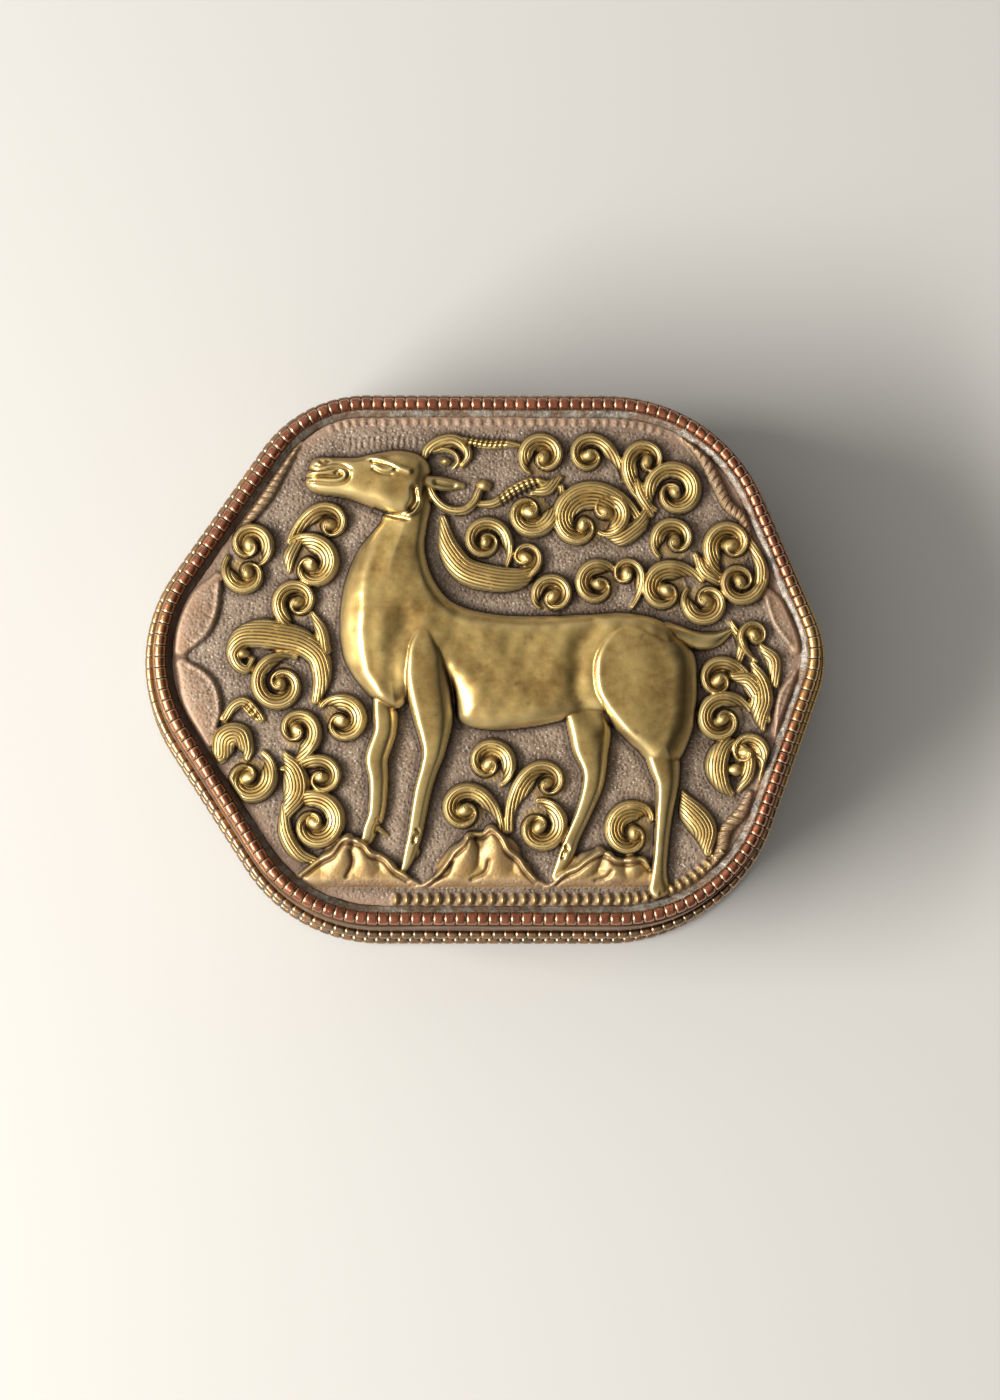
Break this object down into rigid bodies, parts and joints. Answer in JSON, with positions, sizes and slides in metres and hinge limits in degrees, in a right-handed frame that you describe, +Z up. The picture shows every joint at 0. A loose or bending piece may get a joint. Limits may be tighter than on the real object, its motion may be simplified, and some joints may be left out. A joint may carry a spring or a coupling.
{
  "type": "brass box",
  "caption": "Hexagonal sheet-brass box with a lift-off repousse lid of a deer among scrolls, milled copper rim wire and a slip-fit inner collar.",
  "frame": {"origin": "middle of the box's bounding rectangle on the flat underside", "axes": "+X along the longest side to the right of the deer panel, +Y to the back, +Z up"},
  "size_m": [0.1192, 0.096, 0.0415],
  "materials": {
    "wall_brass": "brown aged sheet brass",
    "collar_brass": "plain sheet brass",
    "panel_brass": "worn repousse brass with dull ground",
    "copper_wire": "copper milled wire",
    "trim_wire": "brassy milled wire with grey solder",
    "solder": "dull grey solder"
  },
  "bodies": {
    "base": {"base_floor": "wall_brass", "base_wall": "wall_brass", "base_collar": "collar_brass", "base_foot_wire": "trim_wire"},
    "lid": {"lid_wall": "wall_brass", "lid_panel": "panel_brass", "lid_rim_wire": "copper_wire", "lid_skirt_wire": "trim_wire", "rim_solder": "solder"}
  },
  "joints": [
    {"name": "lid_lift", "type": "slide", "parent": "base", "child": "lid", "axis": [0, 0, 1], "range_m": [0, 0.045]}
  ]
}
